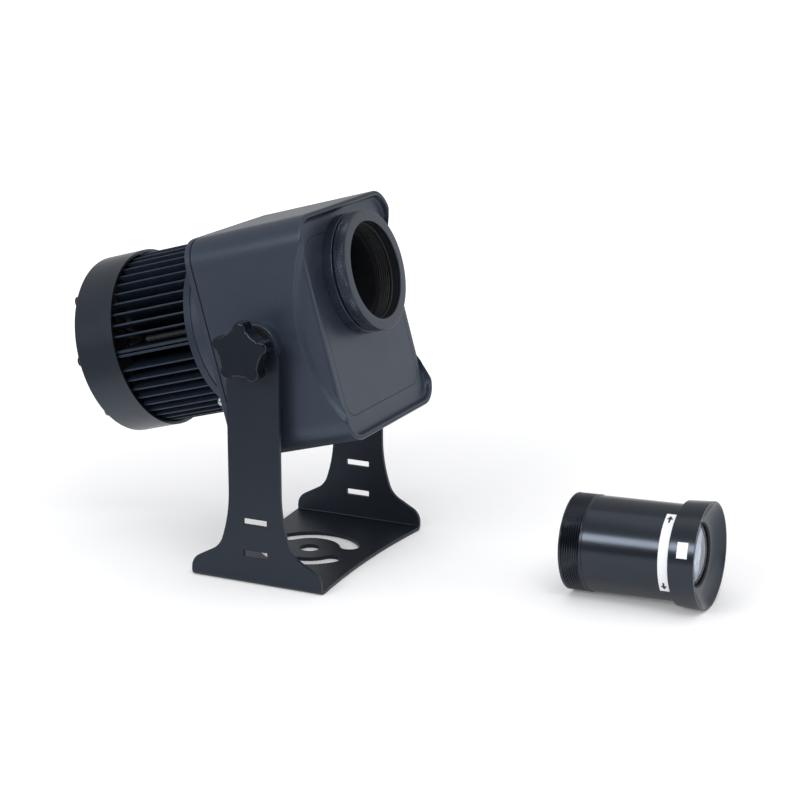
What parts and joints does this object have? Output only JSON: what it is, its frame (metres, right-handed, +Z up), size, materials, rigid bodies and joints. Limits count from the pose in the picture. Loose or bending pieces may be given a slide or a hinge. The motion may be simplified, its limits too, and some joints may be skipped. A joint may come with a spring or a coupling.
{
  "type": "gobo projector",
  "caption": "Tilting gobo projector: finned round lamp head in a U yoke with two clamping knobs, and its screw-in lens lying beside it.",
  "frame": {"origin": "centre of the mounting hole in the yoke's base, on the face that stands on the floor", "axes": "+Z up; the tilt axis runs along X; the light leaves towards -Y"},
  "size_m": [0.1738, 0.415, 0.2291],
  "materials": {
    "powder_steel": "fine satin black powder coat on steel",
    "powder_cast": "fine satin black powder coat on cast aluminium",
    "black_anodised": "satin black anodised",
    "sink_anodised": "black anodised extrusion",
    "knob_black": "glossy black moulding",
    "zinc_steel": "zinc plated",
    "black_steel": "blackened",
    "brass": "turned",
    "bare_aluminium": "turned, bare",
    "rubber_black": "matte",
    "plastic_black": "matte moulding",
    "clear_glass": "polished, coated",
    "gobo_glass": "polished, bare",
    "board_green": "solder resist",
    "board_white": "white metal-core board",
    "phosphor": "phosphor under clear resin",
    "winding_tape": "tape round the winding and its core",
    "capacitor_sleeve": "shrink sleeve"
  },
  "bodies": {
    "yoke": {"yoke": "powder_steel"},
    "head": {"housing_shell": "powder_cast", "front_bezel": "powder_cast", "front_cover": "powder_cast", "cover_screws": "zinc_steel", "lens_collar": "black_anodised", "collar_screws": "zinc_steel", "gobo_carrier": "black_anodised", "gobo_disc": "gobo_glass", "gobo_clip": "zinc_steel", "condenser_tube": "bare_aluminium", "condenser_screws": "zinc_steel", "condenser_rear_lens": "clear_glass", "condenser_spacer": "black_anodised", "condenser_front_lens": "clear_glass", "led_board": "board_white", "led_emitter": "phosphor", "led_screws": "zinc_steel", "driver_board": "board_green", "board_standoffs": "brass", "board_screws": "zinc_steel", "driver_transformer": "winding_tape", "driver_capacitors": "capacitor_sleeve", "terminal_block": "board_green", "pivot_inserts": "brass", "friction_washers": "rubber_black", "rear_gasket": "rubber_black", "rear_cover": "powder_cast", "case_screws": "black_steel", "cable_gland": "plastic_black", "gland_cap": "plastic_black", "gland_seal": "rubber_black", "gland_locknut": "plastic_black", "heat_sink": "sink_anodised", "tie_screws": "zinc_steel", "tie_spacers": "zinc_steel", "rear_shroud": "powder_cast", "shroud_screws": "black_steel", "shroud_washers": "rubber_black", "fan_frame": "plastic_black", "fan_bearing": "brass", "fan_guard": "zinc_steel", "fan_screws": "black_steel"},
    "fan_rotor": {"fan_rotor": "plastic_black", "fan_shaft": "zinc_steel"},
    "lens_ring": {"lens_ring": "black_anodised", "ring_grub_screws": "black_steel"},
    "left_knob": {"left_knob": "knob_black", "left_stud": "zinc_steel", "left_washer": "zinc_steel"},
    "right_knob": {"right_knob": "knob_black", "right_stud": "zinc_steel", "right_washer": "zinc_steel"},
    "lens": {"lens_barrel": "black_anodised", "lens_front_ring": "black_anodised", "lens_front_glass": "clear_glass", "lens_spacer": "black_anodised", "lens_rear_glass": "clear_glass", "lens_retainer": "black_anodised"}
  },
  "joints": [
    {"name": "head_tilt", "type": "hinge", "parent": "yoke", "child": "head", "pos_m": [0, 0, 0.15], "axis": [-1, 0, 0], "range_deg": [-105.5, 74.5]},
    {"name": "left_knob_turn", "type": "hinge", "parent": "head", "child": "left_knob", "pos_m": [-0.076, 0, 0.15], "axis": [-1, 0, 0], "range_deg": [0, 360]},
    {"name": "right_knob_turn", "type": "hinge", "parent": "head", "child": "right_knob", "pos_m": [0.076, 0, 0.15], "axis": [1, 0, 0], "range_deg": [0, 360]},
    {"name": "lens_ring_turn", "type": "hinge", "parent": "head", "child": "lens_ring", "pos_m": [0, -0.04343, 0.18799], "axis": [0, -0.9636, 0.2672], "range_deg": [0, 90]},
    {"name": "fan_spin", "type": "hinge", "parent": "head", "child": "fan_rotor", "pos_m": [0, 0.11831, 0.12757], "axis": [0, -0.9636, 0.2672], "continuous": true},
    {"name": "lens_lift", "type": "slide", "parent": "yoke", "child": "lens", "axis": [0, 0, 1], "range_m": [0, 0.15]}
  ]
}
